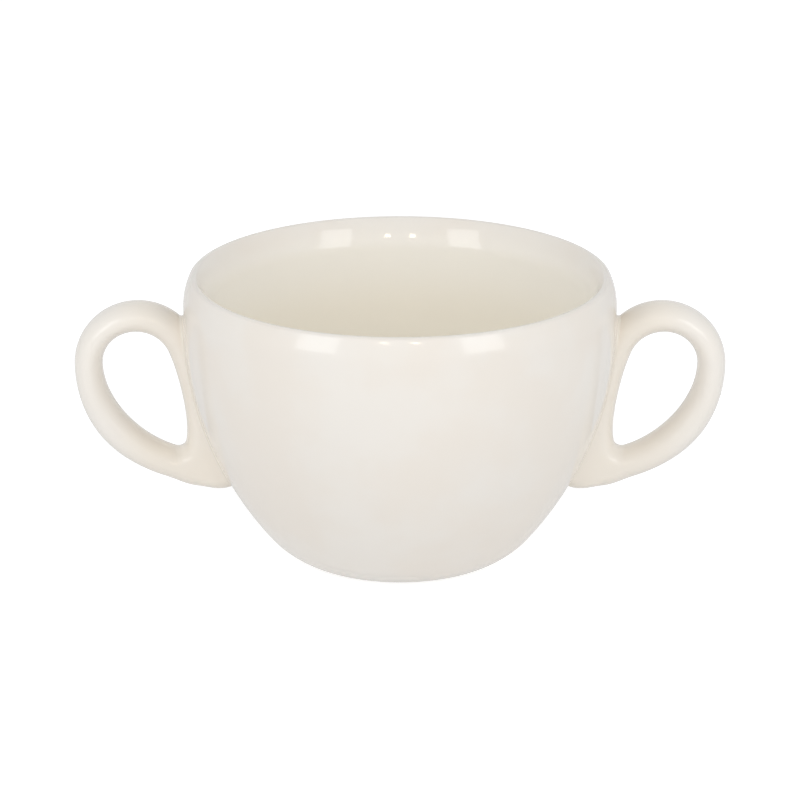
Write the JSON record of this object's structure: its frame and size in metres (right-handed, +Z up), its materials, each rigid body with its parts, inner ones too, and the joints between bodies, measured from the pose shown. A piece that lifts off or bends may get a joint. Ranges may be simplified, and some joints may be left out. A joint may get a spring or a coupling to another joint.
{
  "type": "two-handled soup bowl",
  "caption": "Deep round porcelain soup bowl with a thick rounded lip, a narrow foot ring and an ear-shaped ring handle luted to each side of the wall.",
  "frame": {"origin": "centre of the foot ring, on the plane that the bowl stands on", "axes": "+Z up along the bowl's axis of turning, +X along the line through both handles, +Y away from the viewer of the picture"},
  "size_m": [0.1586, 0.105, 0.0703],
  "materials": {
    "bowl_glaze": "gloss",
    "handle_glaze": "gloss",
    "slip_glaze": "gloss"
  },
  "bodies": {
    "root": {"bowl": "bowl_glaze", "left_handle": "handle_glaze", "right_handle": "handle_glaze", "left_slip_seam": "slip_glaze", "right_slip_seam": "slip_glaze"}
  },
  "joints": []
}
